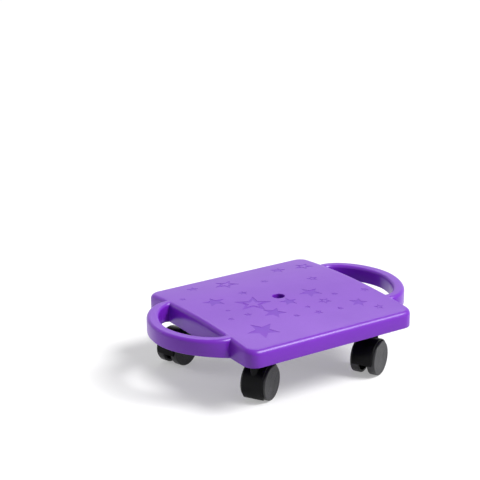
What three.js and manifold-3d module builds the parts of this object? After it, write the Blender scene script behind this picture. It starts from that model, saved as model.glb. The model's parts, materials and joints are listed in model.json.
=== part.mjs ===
// Scooter board: a square moulded deck with a loop handle at each end, carried by four swivel
// casters with twin wheels. Millimetres, +Z up. The origin is on the floor under the middle of
// the deck, and the handles lie along X.

import * as THREE from 'three';
import { mergeVertices } from 'three/addons/utils/BufferGeometryUtils.js';
import Module from 'manifold-3d';

const wasm = await Module();
wasm.setup();

// Wheels
const wheelDiameter = 50;
const wheelWidth = 12;
const wheelGap = 14;
const rimThickness = 3.5;
const facePlate = 3;
const hubDiameter = 13;
const treadRound = 1.4;

// Axle
const axleDiameter = 6;
const axleCover = 2.3;
const axleChamfer = 0.5;

// Caster hood
const axleOffset = 17;
const hoodWall = 2;
const hoodClearance = 1.3;
const wheelShow = 3.5;
const hoodRound = 0.8;
const webThickness = 8;
const hubShoulder = 16;
const hoodBackAngle = -8;
const hoodStemAngle = 222;
const neckDiameter = 12;
const neckRise = 0.7;
const neckFootDiameter = 13;
const neckFootHeight = 10;
const boreFloor = 3;

// Stem and its rings
const stemDiameter = 8;
const stemShow = 2.2;
const collarDiameter = 12;
const collarThickness = 1.5;
const stemChamfer = 0.7;
const snapRingHeight = 1;
const snapRingWidth = 1.4;
const snapRingRise = 4;
const gripRingHeight = 2.4;
const gripRingWidth = 1.2;
const gripRingDepth = 6;
const ringSplitAngle = 30;

// Stem socket
const socketWall = 2.2;
const socketFlangeDiameter = 18;
const socketFlange = 1.2;
const socketCover = 5.3;
const stemTopRoom = 1.2;

// Deck
const deckLength = 282;
const deckWidth = 278;
const deckCorner = 18;
const deckEdge = 24.3;
const deckArch = 7.5;
const deckCrown = 1.5;
const topFillet = 4.5;
const lowerChamfer = 1;
const deckSkin = 3.4;
const deckWall = 3;
const ribThickness = 2.4;
const ribRecess = 2.5;
const bossDiameter = 22;
const bossDrop = 13;
const stemInsetLong = 37;
const stemInsetCross = 46;
const centreHole = 18;
const centreTubeWall = 3;
const plateauShare = 0.2;
const widestRibBay = 38;

// Handles
const handleReach = 64;
const handleHalfSpan = 88;
const handleTipWidth = 17;
const handleRootWidth = 11.5;
const handleHeight = 23.5;
const handleLift = 5;
const handleArch = 45;
const handleRound = 5;
const handleWall = 4;
const handleSkin = 5;
const outerPower = 1.85;
const gripPower = 1.7;

// Clearance between pieces that touch or run on each other, and the overrun of a cut
const clearance = 0.3;
const overrun = 5;

// Facets
const wheelFacets = 28;
const hoodFacets = 36;
const smallFacets = 12;
const cornerFacets = 6;
const sideFacets = 6;
const handleFacets = 18;
const roundFacets = 2;

// Each caster's place, and the way its wheels trail from the stem, in degrees from +X
const corners = [
  { name: 'front_left', side: -1, face: -1, trail: 30 },
  { name: 'front_right', side: 1, face: -1, trail: -152 },
  { name: 'back_left', side: -1, face: 1, trail: -161 },
  { name: 'back_right', side: 1, face: 1, trail: -143 },
];

// Heights above the floor, from the wheels up
const wheelRadius = wheelDiameter / 2;
const hoodInner = wheelRadius + hoodClearance;
const hoodOuter = hoodInner + hoodWall;
const neckTop = wheelRadius + hoodOuter + neckRise;
const collarBottom = neckTop + stemShow;
const socketBottom = collarBottom + collarThickness + clearance;
const bossBottom = socketBottom + socketFlange + clearance;
const deckBottom = bossBottom + bossDrop;
const rimTop = deckBottom + deckEdge;
const socketTop = rimTop - socketCover;
const stemTop = socketTop - stemTopRoom;
const neckFootBottom = wheelRadius + axleDiameter / 2 - clearance;
const stemBottom = neckFootBottom + boreFloor + clearance;
const snapRingBottom = stemBottom + snapRingRise;
const gripRingBottom = stemTop - gripRingDepth;

// Widths across the caster, from its middle plane
const wheelInner = wheelGap / 2;
const wheelOuter = wheelInner + wheelWidth;
const hoodHalfWidth = wheelOuter - wheelShow;
const axleHalfLength = wheelOuter - axleCover - clearance;
const hubGapHalf = wheelInner - clearance;

// Radii that fit one another
const stemRadius = stemDiameter / 2;
const boreRadius = stemRadius + clearance;
const socketRadius = boreRadius + socketWall;
const snapGroove = stemRadius - snapRingWidth / 2;
const gripGroove = stemRadius - gripRingWidth / 2;

// Spans of the four stems, and the gap inside each handle
const stemSpanLong = deckLength - 2 * stemInsetLong;
const stemSpanCross = deckWidth - 2 * stemInsetCross;
const gripReach = handleReach - handleTipWidth;
const gripHalfSpan = handleHalfSpan - handleRootWidth;

// A closed solid from a three.js geometry: shared vertices are merged, and the flat triangles
// that a lathe leaves on its axis are dropped
function solid(geometry) {
  const bare = geometry.index ? geometry.toNonIndexed() : geometry.clone();
  bare.deleteAttribute('normal');
  bare.deleteAttribute('uv');
  const merged = mergeVertices(bare);
  const kept = [];
  const index = merged.index.array;
  for (let i = 0; i < index.length; i += 3) {
    const [a, b, c] = index.slice(i, i + 3);
    if (a !== b && b !== c && c !== a) kept.push(a, b, c);
  }
  const vertProperties = new Float32Array(merged.attributes.position.array);
  const triVerts = new Uint32Array(kept);
  return new wasm.Manifold(new wasm.Mesh({ numProp: 3, vertProperties, triVerts }));
}

function geometryOf(shape) {
  const { vertProperties, triVerts, numProp } = shape.getMesh();
  const geometry = new THREE.BufferGeometry();
  const corner = (i) => vertProperties.slice(i * numProp, i * numProp + 3);
  const position = new Float32Array(triVerts.length * 3);
  triVerts.forEach((vertex, place) => position.set(corner(vertex), place * 3));
  geometry.setAttribute('position', new THREE.BufferAttribute(position, 3));
  geometry.computeVertexNormals();
  return geometry;
}

const joined = (shapes) => shapes.reduce((all, next) => all.add(next));

// A turned solid about Z from [radius, height] points, up its outside and down its inside
function turned(points, facets) {
  const profile = points.map(([radius, height]) => new THREE.Vector2(radius, height));
  return solid(new THREE.LatheGeometry(profile, facets).rotateX(Math.PI / 2));
}

const rod = (radius, bottom, top, facets) =>
  turned([[0, bottom], [radius, bottom], [radius, top], [0, top]], facets);

const box = (x0, x1, y0, y1, z0, z1) =>
  solid(new THREE.BoxGeometry(x1 - x0, y1 - y0, z1 - z0)
    .translate((x0 + x1) / 2, (y0 + y1) / 2, (z0 + z1) / 2));

const extrusion = (points, options) =>
  new THREE.ExtrudeGeometry(new THREE.Shape(points.map(([x, y]) => new THREE.Vector2(x, y))), options);

const extruded = (points, depth) => solid(extrusion(points, { depth, bevelEnabled: false }));

// A solid through rings of equal count, from the lowest up, each running the same way round
function lofted(rings) {
  const triangles = [];
  const middle = (ring) => ring.reduce((sum, point) => sum.clone().add(point)).divideScalar(ring.length);
  const floor = middle(rings[0]);
  const roof = middle(rings[rings.length - 1]);
  rings[0].forEach((_, i) => {
    const j = (i + 1) % rings[0].length;
    triangles.push(floor, rings[0][j], rings[0][i]);
    triangles.push(roof, rings[rings.length - 1][i], rings[rings.length - 1][j]);
    for (let k = 0; k + 1 < rings.length; k++) {
      triangles.push(rings[k][i], rings[k][j], rings[k + 1][i]);
      triangles.push(rings[k][j], rings[k + 1][j], rings[k + 1][i]);
    }
  });
  return solid(new THREE.BufferGeometry().setFromPoints(triangles));
}

// Points round a rectangle with round corners, with spare points along each side for the crown
function outline(length, width, radius) {
  const points = [];
  const quarter = Math.PI / 2;
  const sides = [[1, 1], [-1, 1], [-1, -1], [1, -1]];
  const centre = ([x, y]) => new THREE.Vector2(x * (length / 2 - radius), y * (width / 2 - radius));
  const onArc = (middle, angle) => new THREE.Vector2(radius, 0).rotateAround(new THREE.Vector2(), angle).add(middle);
  sides.forEach((side, turn) => {
    for (let i = 0; i <= cornerFacets; i++) {
      points.push(onArc(centre(side), quarter * (turn + i / cornerFacets)));
    }
    const next = onArc(centre(sides[(turn + 1) % sides.length]), quarter * (turn + 1));
    const last = points[points.length - 1];
    for (let i = 1; i < sideFacets; i++) points.push(last.clone().lerp(next, i / sideFacets));
  });
  return points;
}

// Height of the deck's top: an arch across the board, from one straight long edge to the other,
// with a slight crown on it and a flat middle
function deckTop(x, y) {
  const u = Math.max(Math.abs(x) / (deckLength / 2), plateauShare);
  const v = Math.max(Math.abs(y) / (deckWidth / 2), plateauShare);
  return rimTop + (deckArch + deckCrown * (1 - u * u)) * (1 - v * v);
}

const ringAt = (inset, drop) =>
  outline(deckLength - 2 * inset, deckWidth - 2 * inset, Math.max(deckCorner - inset, clearance))
    .map((point) => new THREE.Vector3(point.x, point.y, deckTop(point.x, point.y) - drop));

const flatRing = (inset, height) => ringAt(inset, 0).map((point) => point.setZ(height));

// Rings that carry the crown in to the flat middle, under the top by a given drop
function crownRings(inset, drop) {
  const shares = [1, 0.8, 0.6, 0.4, plateauShare];
  const rim = outline(deckLength - 2 * inset, deckWidth - 2 * inset, Math.max(deckCorner - inset, clearance));
  return shares.map((share) => rim.map(({ x, y }) => {
    const toMiddle = new THREE.Vector2(x, y).multiplyScalar(share);
    return new THREE.Vector3(toMiddle.x, toMiddle.y, deckTop(toMiddle.x, toMiddle.y) - drop);
  }));
}

function deckOuter() {
  const filletRings = [];
  for (let i = 0; i < 2 * roundFacets; i++) {
    const angle = (Math.PI / 2) * (i / (2 * roundFacets));
    filletRings.push(ringAt(topFillet * (1 - Math.cos(angle)), topFillet * (1 - Math.sin(angle))));
  }
  return lofted([
    flatRing(lowerChamfer, deckBottom),
    flatRing(0, deckBottom + lowerChamfer),
    ...filletRings,
    ...crownRings(topFillet, 0),
  ]);
}

// The hollow under the skin, open below
function deckHollow() {
  return lofted([
    flatRing(deckWall, deckBottom - overrun),
    ringAt(deckWall, topFillet),
    ...crownRings(deckWall + deckSkin, deckSkin),
  ]);
}

// A plainer body whose faces run in the middle of the wall and skin, so that ribs end inside them
function deckCore() {
  return lofted([
    flatRing(deckWall / 2, deckBottom + ribRecess),
    ringAt(deckWall / 2, topFillet),
    ...crownRings(deckWall + deckSkin / 2, deckSkin / 2),
  ]);
}

// Rib places along one axis: through the stem bosses, evenly between them, and once outside
// where the bay to the wall is wider than a bay between bosses
function ribPlaces(stemSpan, wallPlace) {
  const bays = Math.ceil(stemSpan / widestRibBay);
  const places = [];
  for (let i = 0; i <= bays; i++) places.push(stemSpan * (i / bays - 0.5));
  const outerBay = wallPlace - stemSpan / 2;
  if (outerBay > stemSpan / bays) {
    const middle = stemSpan / 2 + outerBay / 2;
    places.push(-middle, middle);
  }
  return places;
}

function deckRibs() {
  const half = ribThickness / 2;
  const top = rimTop + deckArch + deckCrown;
  const longHalf = deckLength / 2;
  const crossHalf = deckWidth / 2;
  const across = ribPlaces(stemSpanLong, longHalf - deckWall)
    .map((x) => box(x - half, x + half, -crossHalf, crossHalf, deckBottom, top));
  const along = ribPlaces(stemSpanCross, crossHalf - deckWall)
    .map((y) => box(-longHalf, longHalf, y - half, y + half, deckBottom, top));
  return joined([...across, ...along]).intersect(deckCore());
}

// Half of a loop about the end of the deck, from -Y round to +Y
function loopPoints(reach, halfSpan, power) {
  const points = [];
  for (let i = 0; i <= handleFacets; i++) {
    const angle = Math.PI * (i / handleFacets - 0.5);
    const out = Math.max(Math.cos(angle), 0) ** (2 / power);
    const along = Math.sign(Math.sin(angle)) * Math.abs(Math.sin(angle)) ** (2 / power);
    points.push([deckLength / 2 + reach * out, halfSpan * along]);
  }
  return points;
}

// The outline of a handle, with its roots run into the deck's end wall, and its sides drawn in
// by an inset
function bandPoints(inset) {
  const rootX = deckLength / 2 - topFillet - handleRound - overrun;
  const outerSpan = handleHalfSpan - inset;
  const innerSpan = gripHalfSpan + inset;
  return [
    [rootX, -outerSpan],
    ...loopPoints(handleReach - inset, outerSpan, outerPower),
    [rootX, outerSpan],
    [rootX, innerSpan],
    ...loopPoints(gripReach + inset, innerSpan, gripPower).reverse(),
    [rootX, -innerSpan],
  ];
}

// The band of a handle, from its lower edge up. That edge comes down to the deck's own at the
// roots, in an arch
function handleBand() {
  const depth = handleHeight - 2 * handleRound;
  const band = extrusion(bandPoints(0), {
    depth,
    bevelThickness: handleRound,
    bevelSize: handleRound,
    bevelOffset: -handleRound,
    bevelSegments: roundFacets,
  });
  const places = band.attributes.position;
  for (let i = 0; i < places.count; i++) {
    const out = THREE.MathUtils.clamp((places.getX(i) - deckLength / 2) / handleArch, 0, 1);
    const lower = places.getZ(i) < depth / 2;
    if (lower) places.setZ(i, places.getZ(i) - handleLift * (1 - out) ** 2);
  }
  return solid(band.translate(0, 0, handleRound));
}

// A loop handle at the +X end, hollow and open below
function handle() {
  const bottom = deckBottom + handleLift;
  const band = handleBand().translate([0, 0, bottom]);
  const low = deckBottom - overrun;
  const channel = extruded(bandPoints(handleWall), bottom + handleHeight - handleSkin - low)
    .translate([0, 0, low]);
  const outside = box(
    deckLength / 2 - topFillet, deckLength / 2 + handleReach + overrun,
    -handleHalfSpan - overrun, handleHalfSpan + overrun,
    low, bottom + handleHeight + overrun,
  );
  const hollow = channel.subtract(box(
    0, deckLength / 2,
    -handleHalfSpan, handleHalfSpan,
    low - overrun, bottom + handleHeight,
  ));
  return band.intersect(outside).subtract(hollow);
}

const stemX = (corner) => corner.side * stemSpanLong / 2;
const stemY = (corner) => corner.face * stemSpanCross / 2;

function deckSolid() {
  const plateau = deckTop(0, 0);
  const rightHandle = handle();
  const leftHandle = rightHandle.rotate([0, 0, 180]);
  const tube = rod(centreHole / 2 + centreTubeWall, deckBottom + ribRecess, plateau - deckSkin / 2, 2 * smallFacets);
  const hole = rod(centreHole / 2, deckBottom - overrun, plateau + overrun, 2 * smallFacets);
  const shell = joined([deckOuter(), rightHandle, leftHandle]).subtract(deckHollow());
  const bosses = corners.map((corner) => {
    const x = stemX(corner);
    const y = stemY(corner);
    return rod(bossDiameter / 2, bossBottom, deckTop(x, y) - deckSkin / 2, 2 * smallFacets).translate([x, y, 0]);
  });
  const bores = corners.map((corner) =>
    rod(socketRadius + clearance, bossBottom - overrun, socketTop + clearance, smallFacets)
      .translate([stemX(corner), stemY(corner), 0]));
  return joined([shell, deckRibs(), tube, ...bosses]).subtract(joined([hole, ...bores]));
}

// A socket: a flanged sleeve with a groove near its top for the grip ring
function socketSolid() {
  const grooveBottom = gripRingBottom - clearance;
  const grooveTop = gripRingBottom + gripRingHeight + clearance;
  const grooveRadius = gripGroove + clearance + gripRingWidth + clearance;
  return turned([
    [boreRadius, socketBottom],
    [socketFlangeDiameter / 2, socketBottom],
    [socketFlangeDiameter / 2, socketBottom + socketFlange],
    [socketRadius, socketBottom + socketFlange],
    [socketRadius, socketTop],
    [boreRadius, socketTop],
    [boreRadius, grooveTop],
    [grooveRadius, grooveTop],
    [grooveRadius, grooveBottom],
    [boreRadius, grooveBottom],
    [boreRadius, socketBottom],
  ], smallFacets);
}

// A stem: a steel pin with a collar under the socket and a groove for each ring
function stemSolid() {
  const groove = (radius, bottom, height) => [
    [stemRadius, bottom],
    [radius, bottom],
    [radius, bottom + height],
    [stemRadius, bottom + height],
  ];
  return turned([
    [0, stemBottom],
    [stemRadius - stemChamfer, stemBottom],
    [stemRadius, stemBottom + stemChamfer],
    ...groove(snapGroove, snapRingBottom - clearance, snapRingHeight + 2 * clearance),
    [stemRadius, collarBottom],
    [collarDiameter / 2, collarBottom],
    [collarDiameter / 2, collarBottom + collarThickness],
    [stemRadius, collarBottom + collarThickness],
    ...groove(gripGroove, gripRingBottom - clearance, gripRingHeight + 2 * clearance),
    [stemRadius, stemTop - stemChamfer],
    [stemRadius - stemChamfer, stemTop],
    [0, stemTop],
  ], smallFacets);
}

// A split ring about Z
function splitRing(inner, width, bottom, height) {
  const points = [];
  const open = THREE.MathUtils.degToRad(ringSplitAngle) / 2;
  const turn = 2 * (Math.PI - open);
  const polar = (radius, angle) => [radius * Math.cos(angle), radius * Math.sin(angle)];
  for (let i = 0; i <= smallFacets; i++) points.push(polar(inner + width, open + turn * (i / smallFacets)));
  for (let i = smallFacets; i >= 0; i--) points.push(polar(inner, open + turn * (i / smallFacets)));
  return extruded(points, height).translate([0, 0, bottom]);
}

const gripRingSolid = () => splitRing(gripGroove + clearance, gripRingWidth, gripRingBottom, gripRingHeight);
const snapRingSolid = () => splitRing(snapGroove + clearance, snapRingWidth, snapRingBottom, snapRingHeight);

// Turns a solid about Z into one about the wheels' axis, which lies along Y at the axle
const onAxle = (shape) => shape.rotate([-90, 0, 0]).translate([axleOffset, 0, wheelRadius]);

// Everything between the hood's two lower edges that has to be open
function hoodOpening() {
  const reach = 4 * hoodOuter;
  const start = THREE.MathUtils.degToRad(hoodStemAngle);
  const end = THREE.MathUtils.degToRad(hoodBackAngle + 360);
  const polar = (angle) => [reach * Math.cos(angle), reach * Math.sin(angle)];
  const wedge = extruded([[0, 0], polar(start), polar((start + end) / 2), polar(end)], 2 * wheelOuter);
  return wedge.translate([0, 0, -wheelOuter]).rotate([90, 0, 0]).translate([axleOffset, 0, wheelRadius]);
}

// A caster hood: a round cover over both wheels, a web between them, and the neck on its stem side
function hoodSolid() {
  const rim = hoodHalfWidth;
  const cover = turned([
    [hoodInner, -rim],
    [hoodOuter - hoodRound, -rim],
    [hoodOuter, hoodRound - rim],
    [hoodOuter, rim - hoodRound],
    [hoodOuter - hoodRound, rim],
    [hoodInner, rim],
    [hoodInner, -rim],
  ], hoodFacets);
  const web = rod(hoodInner + hoodWall / 2, -webThickness / 2, webThickness / 2, hoodFacets);
  const hub = rod(hubShoulder / 2, -hubGapHalf, hubGapHalf, 2 * smallFacets);
  const arch = onAxle(cover.add(web)).subtract(hoodOpening());
  const neck = rod(neckDiameter / 2, neckFootBottom, neckTop, 2 * smallFacets);
  const foot = rod(neckFootDiameter / 2, neckFootBottom, neckFootBottom + neckFootHeight, 2 * smallFacets);
  const bore = rod(boreRadius, neckFootBottom + boreFloor, neckTop + overrun, smallFacets);
  const ringSeat = rod(
    snapGroove + snapRingWidth + 2 * clearance,
    snapRingBottom - clearance, snapRingBottom + snapRingHeight + clearance, smallFacets,
  );
  const axleBore = onAxle(rod(axleDiameter / 2 + clearance, -hubGapHalf - overrun, hubGapHalf + overrun, smallFacets));
  return joined([arch, onAxle(hub), neck, foot]).subtract(joined([bore, ringSeat, axleBore]));
}

function axleSolid() {
  const radius = axleDiameter / 2;
  return onAxle(turned([
    [0, -axleHalfLength],
    [radius - axleChamfer, -axleHalfLength],
    [radius, axleChamfer - axleHalfLength],
    [radius, axleHalfLength - axleChamfer],
    [radius - axleChamfer, axleHalfLength],
    [0, axleHalfLength],
  ], smallFacets));
}

// A wheel: a dished disc with its plain face outwards, and a hub with a blind bore. Its facets
// lie outside the true circle, so that it stands on a flat one at its full radius
function wheelSolid(side) {
  const rimInner = wheelRadius - rimThickness;
  const faceBack = wheelOuter - facePlate;
  const boreEnd = axleHalfLength + clearance;
  const tread = wheelRadius / Math.cos(Math.PI / wheelFacets);
  const wheel = turned([
    [0, boreEnd],
    [axleDiameter / 2 + clearance, boreEnd],
    [axleDiameter / 2 + clearance, wheelInner],
    [hubDiameter / 2, wheelInner],
    [hubDiameter / 2, faceBack],
    [rimInner, faceBack],
    [rimInner, wheelInner],
    [tread - treadRound, wheelInner],
    [tread, wheelInner + treadRound],
    [tread, wheelOuter - treadRound],
    [tread - treadRound, wheelOuter],
    [0, wheelOuter],
  ], wheelFacets).rotate([0, 0, 180 / wheelFacets]);
  return onAxle(side > 0 ? wheel : wheel.rotate([180, 0, 0]));
}

const purple = new THREE.MeshStandardMaterial({ color: 0x8558cf, roughness: 0.42, metalness: 0 });
const black = new THREE.MeshStandardMaterial({ color: 0x17171a, roughness: 0.38, metalness: 0 });
const grey = new THREE.MeshStandardMaterial({ color: 0x2b2b2f, roughness: 0.5, metalness: 0 });
const steel = new THREE.MeshStandardMaterial({ color: 0xb9bdc2, roughness: 0.3, metalness: 1 });
const white = new THREE.MeshStandardMaterial({ color: 0xd9d9d4, roughness: 0.5, metalness: 0 });

function piece(name, shape, material) {
  const mesh = new THREE.Mesh(geometryOf(shape), material);
  mesh.name = name;
  return mesh;
}

// One caster about its stem, with its wheels trailing along its own +X
function caster(corner) {
  const group = new THREE.Group();
  group.position.set(stemX(corner), stemY(corner), 0);
  group.rotation.z = THREE.MathUtils.degToRad(corner.trail);
  group.add(
    piece(`${corner.name}_socket`, socketSolid(), white),
    piece(`${corner.name}_stem`, stemSolid(), steel),
    piece(`${corner.name}_grip_ring`, gripRingSolid(), steel),
    piece(`${corner.name}_hood`, hoodSolid(), black),
    piece(`${corner.name}_snap_ring`, snapRingSolid(), steel),
    piece(`${corner.name}_axle`, axleSolid(), steel),
    piece(`${corner.name}_wheel_left`, wheelSolid(1), grey),
    piece(`${corner.name}_wheel_right`, wheelSolid(-1), grey),
  );
  return group;
}

const scooterBoard = new THREE.Group();
scooterBoard.add(piece('deck', deckSolid(), purple));
corners.forEach((corner) => scooterBoard.add(caster(corner)));

export default scooterBoard;
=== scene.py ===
"""Scooter board: a moulded deck with two loop handles on four twin-wheel casters.

Every size is in metres, in the frame's own axes: X runs through both handles, and Z goes up from the
floor.
"""

import json
import math

import bmesh
import bpy
from bpy.props import FloatProperty, FloatVectorProperty, PointerProperty
from mathutils import Matrix, Vector


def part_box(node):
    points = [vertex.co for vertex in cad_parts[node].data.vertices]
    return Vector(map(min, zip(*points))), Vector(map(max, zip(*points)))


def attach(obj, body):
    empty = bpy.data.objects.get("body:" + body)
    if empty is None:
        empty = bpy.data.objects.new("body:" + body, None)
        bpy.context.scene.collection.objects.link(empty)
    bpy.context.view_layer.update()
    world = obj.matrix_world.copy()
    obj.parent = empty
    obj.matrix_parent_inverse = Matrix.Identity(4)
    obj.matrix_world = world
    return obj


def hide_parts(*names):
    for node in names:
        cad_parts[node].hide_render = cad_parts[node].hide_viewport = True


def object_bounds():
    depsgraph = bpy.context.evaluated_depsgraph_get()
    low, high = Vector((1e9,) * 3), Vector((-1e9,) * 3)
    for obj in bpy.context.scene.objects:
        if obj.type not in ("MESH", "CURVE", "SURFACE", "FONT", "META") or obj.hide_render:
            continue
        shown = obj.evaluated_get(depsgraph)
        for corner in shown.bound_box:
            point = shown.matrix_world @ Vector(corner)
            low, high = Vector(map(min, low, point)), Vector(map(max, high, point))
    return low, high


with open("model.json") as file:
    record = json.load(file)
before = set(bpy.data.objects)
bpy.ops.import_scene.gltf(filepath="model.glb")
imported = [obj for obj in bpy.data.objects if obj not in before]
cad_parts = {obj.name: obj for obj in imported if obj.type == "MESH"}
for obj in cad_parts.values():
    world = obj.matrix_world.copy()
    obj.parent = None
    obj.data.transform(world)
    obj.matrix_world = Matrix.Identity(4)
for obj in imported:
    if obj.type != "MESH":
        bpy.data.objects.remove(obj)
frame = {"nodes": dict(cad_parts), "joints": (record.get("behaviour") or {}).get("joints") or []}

bl_info = {
    "name": "Scooter Board",
    "version": (1, 0, 0),
    "blender": (4, 5, 0),
    "location": "3D View > Sidebar > Scooter Board",
    "description": "Models a moulded scooter board, its twin-wheel casters and a plain stage",
    "category": "Add Mesh",
}

# What the frame gives. The casters are alike, so the nodes of one corner give the sizes of all four
CORNERS = ("front_left", "front_right", "back_left", "back_right")
SIDES = ("left", "right")
MEASURED = "front_right"
CAD_LOW, CAD_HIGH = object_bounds()
DECK_LOW, DECK_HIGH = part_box("deck")
STEM_LOW, STEM_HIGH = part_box(f"{MEASURED}_stem")
SOCKET_LOW, SOCKET_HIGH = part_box(f"{MEASURED}_socket")
HOOD_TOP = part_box(f"{MEASURED}_hood")[1].z
WHEEL_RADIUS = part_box(f"{MEASURED}_wheel_left")[1].z / 2
JOINTS = {joint["name"]: joint for joint in frame["joints"]}

# A length below this counts as none
TINY = 1e-6
FULL_TURN = 2 * math.pi
HALF_TURN = math.pi
QUARTER_TURN = math.pi / 2

# How many steps round forms take
LOOP_STEPS = 112
WHEEL_STEPS = 96
HOOD_STEPS = 80
HOLE_STEPS = 64
PIN_STEPS = 48
HUB_STEPS = 40
BORE_STEPS = 32
CORNER_STEPS = 10
ROUND_STEPS = 6
PROFILE_ROUND_STEPS = 4
SMALL_ROUND_STEPS = 3
EDGE_BREAK_STEPS = 2


# Sizes and colours that a user would change


def length(name, description, default):
    return FloatProperty(name=name, description=description, default=default, min=0, unit="LENGTH")


def share(name, description, default):
    return FloatProperty(name=name, description=description, default=default, min=0, max=1)


def degrees(name, description, default):
    return FloatProperty(name=name, description=description, default=math.radians(default), subtype="ANGLE")


def colour(name, description, default):
    return FloatVectorProperty(
        name=name, description=description, default=default, size=3, min=0, max=1, subtype="COLOR"
    )


class DeckSizes(bpy.types.PropertyGroup):
    """Sizes of the moulded deck."""

    half_length: length("Half length", "Half of the deck's length without its handles", 0.141)
    edge: length("Edge", "Height of the walls along the deck's long edges", 0.0243)
    boss_drop: length("Boss drop", "How far the stem bosses stand out below the walls", 0.013)
    corner: length("Corner", "Radius of the upright corners", 0.018)
    top_round: length("Top rounding", "Radius along the top edge", 0.007)
    low_round: length("Lower rounding", "Radius along the lower edge", 0.001)
    arch: length("Arch", "Rise of the top's arch from one long edge to the other", 0.0072)
    crown: length("Crown", "Further rise of the top in its middle", 0.00135)
    grid: length("Grid", "Spacing of the cuts that let the top take its arch", 0.0058)
    wall: length("Wall", "Thickness of the side walls", 0.003)
    skin: length("Skin", "Thickness of the top", 0.0034)
    rib: length("Rib", "Thickness of the ribs under the top", 0.0024)
    rib_recess: length("Rib recess", "Distance of the ribs above the lower edge", 0.0025)
    pocket_round: length("Pocket rounding", "Radius in the corners between the ribs", 0.0018)
    widest_bay: length("Widest bay", "Widest space between two ribs", 0.038)
    boss: length("Boss", "Radius of the stem bosses", 0.011)
    bore: length("Bore", "Radius of the socket bores", 0.0068)
    hole: length("Hole", "Radius of the hole in the middle", 0.009)
    hole_round: length("Hole rounding", "Flare at the mouth of the hole", 0.0011)
    tube: length("Tube", "Wall of the tube round the hole", 0.003)


class HandleSizes(bpy.types.PropertyGroup):
    """Sizes of the loop handles."""

    half_span: length("Half span", "Half of a handle's width at its roots", 0.088)
    tip: length("Tip width", "Width of the loop at its tip", 0.017)
    root: length("Root width", "Width of the loop at its roots", 0.0155)
    height: length("Height", "Height of the loop at its tip", 0.0235)
    lift: length("Lift", "Distance of the loop's tip above the deck's lower edge", 0.005)
    arch: length("Arch", "How far from the deck the loop's edges come to their level", 0.045)
    top_round: length("Top rounding", "Radius along the top of the loop", 0.0053)
    low_round: length("Lower rounding", "Radius along the lower edges of the loop", 0.0015)
    wall: length("Wall", "Thickness of the loop's side walls", 0.004)
    skin: length("Skin", "Thickness of the loop's top", 0.005)
    power: FloatProperty(name="Power", description="Fullness of the loop's outer curve", default=1.85)
    gap_power: FloatProperty(name="Gap power", description="Fullness of the gap's curve", default=1.7)


class StarSizes(bpy.types.PropertyGroup):
    """Sizes of the sunk stars on the top."""

    depth: length("Depth", "How deep the stars are sunk", 0.00025)
    margin: length("Margin", "Strip along the deck's edges that holds no star", 0.009)
    waist: share("Waist", "Inner radius of a star, as a share of its outer radius", 0.42)
    line: share("Line", "Width of an outline, as a share of the star's radius", 0.16)


class CasterSizes(bpy.types.PropertyGroup):
    """Sizes of a caster."""

    hood_wall: length("Hood wall", "Thickness of the hood", 0.002)
    hood_gap: length("Hood gap", "Clearance between the wheels and the hood", 0.0013)
    hood_half: length("Hood half width", "Half of the hood's width", 0.0155)
    hood_round: length("Hood rounding", "Radius along the hood's edges", 0.0009)
    web: length("Web", "Half thickness of the web between the wheels", 0.004)
    hub: length("Hub", "Radius of the hood's hub", 0.008)
    neck: length("Neck", "Radius of the neck", 0.006)
    foot: length("Foot", "Radius of the neck's foot", 0.0065)
    foot_height: length("Foot height", "Height of the neck's foot", 0.010)
    bore: length("Bore", "Radius of the bore that takes the stem", 0.0043)
    bore_floor: length("Bore floor", "Thickness under the bore", 0.003)
    axle: length("Axle", "Radius of the axle", 0.003)
    running: length("Running gap", "Clearance between pieces that turn", 0.0003)
    stem: length("Stem", "Radius of the stem", 0.004)
    collar: length("Collar", "Radius of the stem's collar", 0.006)
    collar_height: length("Collar height", "Thickness of the stem's collar", 0.0015)
    stem_round: length("Stem rounding", "Rounding of the stem's ends", 0.0007)
    flange: length("Flange", "Radius of the socket's flange", 0.009)
    flange_height: length("Flange height", "Thickness of the socket's flange", 0.0012)
    sleeve: length("Sleeve", "Radius of the socket's sleeve", 0.0065)
    wheel_gap: length("Wheel gap", "Half of the gap between the two wheels", 0.007)
    wheel_width: length("Wheel width", "Width of a wheel", 0.012)
    wheel_rim: length("Wheel rim", "Thickness of the wheel's rim", 0.0035)
    wheel_face: length("Wheel face", "Thickness of the wheel's face", 0.003)
    wheel_hub: length("Wheel hub", "Radius of the wheel's hub", 0.0065)
    tread_round: length("Tread rounding", "Radius along the tread's edges", 0.0014)
    ring_depth: length("Ring depth", "Depth of the turned rings on the face", 0.00022)
    ring_width: length("Ring width", "Width of a turned ring", 0.0006)
    axle_cover: length("Axle cover", "Thickness of the face over the axle's end", 0.0023)


class Finishes(bpy.types.PropertyGroup):
    """Colours of the plastics, the metal and the floor."""

    deck: colour("Deck", "Colour of the deck", (0.172, 0.016, 0.47))
    deck_deep: colour("Deck shade", "Colour in the deck's darker patches", (0.152, 0.013, 0.43))
    star: colour("Star", "Colour of the sunk stars", (0.125, 0.007, 0.41))
    hood: colour("Hood", "Colour of the hoods", (0.005, 0.005, 0.006))
    wheel: colour("Wheel", "Colour of the wheels", (0.023, 0.023, 0.026))
    socket: colour("Socket", "Colour of the sockets", (0.02, 0.02, 0.022))
    steel: colour("Steel", "Colour of the stems and axles", (0.62, 0.63, 0.65))
    spring: colour("Spring steel", "Colour of the rings", (0.42, 0.43, 0.45))
    floor: colour("Floor", "Colour of the floor", (0.65, 0.65, 0.65))


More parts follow.
